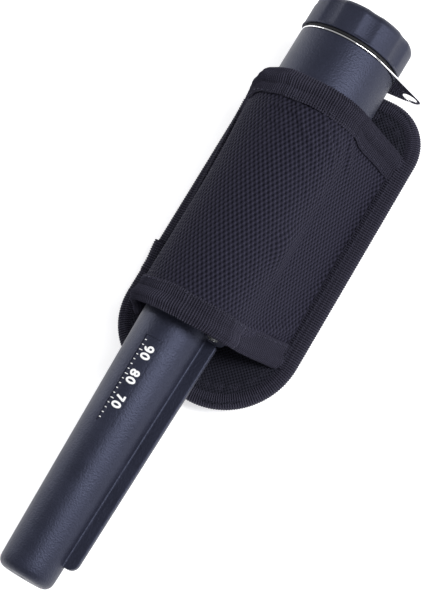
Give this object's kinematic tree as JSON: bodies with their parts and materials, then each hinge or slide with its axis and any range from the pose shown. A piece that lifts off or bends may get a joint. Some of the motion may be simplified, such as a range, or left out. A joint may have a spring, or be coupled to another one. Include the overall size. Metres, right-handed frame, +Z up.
{
  "type": "pinpointer probe",
  "caption": "Handheld metal-detecting pinpointer with screw battery cap, lanyard ring and scraper blade, sheathed in an open-ended padded belt holster.",
  "frame": {"origin": "on the flat back of the belt loop, the face that the holster lies on, under the probe's axis", "axes": "+Y from the probe's tip to its battery cap, +X to the side with the button, lamp and scraper blade, +Z up from the resting face"},
  "size_m": [0.071, 0.24, 0.0544],
  "materials": {
    "webbing": "woven nylon webbing",
    "panel_fabric": "plain nylon, matt",
    "stiffener": "polyethylene board",
    "lining_fabric": "open mesh lining",
    "binding_tape": "ribbed grosgrain tape",
    "pocket_fabric": "coarse diamond-woven nylon",
    "housing_plastic": "fine-textured moulding, satin",
    "cap_plastic": "fine-textured moulding, satin",
    "clear_lens": "clear moulded lens",
    "led_resin": "clear resin over phosphor",
    "black_rubber": "matt rubber",
    "board_laminate": "green solder mask",
    "natural_plastic": "natural nylon",
    "plated_steel": "bright plated",
    "component_black": "moulded epoxy",
    "component_blue": "sleeved or moulded",
    "grey_foam": "closed-cell foam",
    "weight_alloy": "sintered tungsten alloy",
    "ferrite": "ground ferrite",
    "copper_winding": "enamelled copper wire",
    "brass_contact": "stamped leaf",
    "red_insulation": "PVC",
    "black_insulation": "PVC",
    "battery_can": null,
    "polished_steel": "polished stamped steel"
  },
  "bodies": {
    "holster": {"belt_loop": "webbing", "panel_back": "panel_fabric", "panel_stiffener": "stiffener", "panel_face": "lining_fabric", "panel_binding": "binding_tape", "pocket_cover": "pocket_fabric", "pocket_top_tape": "binding_tape", "pocket_bottom_tape": "binding_tape", "seam_tapes": "binding_tape"},
    "probe": {"housing": "housing_plastic", "led_lens": "clear_lens", "led": "led_resin", "circuit_board": "board_laminate", "board_carrier": "natural_plastic", "board_screws": "plated_steel", "tact_switch": "component_black", "microcontroller": "component_black", "amplifier_chip": "component_black", "capacitors": "component_blue", "trimmer": "component_blue", "buzzer": "component_black", "buzzer_gasket": "grey_foam", "motor": "plated_steel", "motor_clip": "component_black", "ferrite_rod": "ferrite", "coil_former": "natural_plastic", "transmit_coil": "copper_winding", "receive_coil": "copper_winding", "coil_leads": "copper_winding", "front_bush": "grey_foam", "rear_bush": "grey_foam", "battery_divider": "component_black", "contact_block": "component_black", "contact_plates": "brass_contact", "red_lead": "red_insulation", "black_lead": "black_insulation", "cap_gasket": "black_rubber"},
    "button": {"power_button": "black_rubber"},
    "vibrator": {"motor_shaft": "plated_steel", "motor_weight": "weight_alloy"},
    "battery_pack": {"battery": "battery_can", "battery_terminals": "plated_steel"},
    "ring": {"lanyard_ring": "polished_steel"},
    "cap_core": {"cap_cushion": "grey_foam", "cap_liner": "natural_plastic"},
    "cap": {"battery_cap": "cap_plastic"}
  },
  "joints": [
    {"name": "probe_slide", "type": "slide", "parent": "holster", "child": "probe", "axis": [0, 1, 0], "range_m": [0, 0.21]},
    {"name": "cap_lift", "type": "slide", "parent": "probe", "child": "cap_core", "axis": [0, 1, 0], "range_m": [0, 0.08]},
    {"name": "cap_turn", "type": "hinge", "parent": "cap_core", "child": "cap", "pos_m": [0, 0.0784, 0.0315], "axis": [0, 1, 0], "range_deg": [0, 720]},
    {"name": "battery_slide", "type": "slide", "parent": "probe", "child": "battery_pack", "axis": [0, 1, 0], "range_m": [0, 0.068]},
    {"name": "ring_turn", "type": "hinge", "parent": "probe", "child": "ring", "pos_m": [0, 0.07, 0.0315], "axis": [0, 1, 0], "continuous": true},
    {"name": "button_press", "type": "slide", "parent": "probe", "child": "button", "axis": [-1, 0, 0], "range_m": [0, 0.0008], "stiffness_N_per_m": 1500, "springref_m": -0.001},
    {"name": "weight_spin", "type": "hinge", "parent": "probe", "child": "vibrator", "pos_m": [0.0086, -0.024, 0.025], "axis": [0, 1, 0], "continuous": true}
  ],
  "couplings": [
    {"joint": "battery_slide", "follows": "cap_lift", "ratio": 0.85}
  ]
}
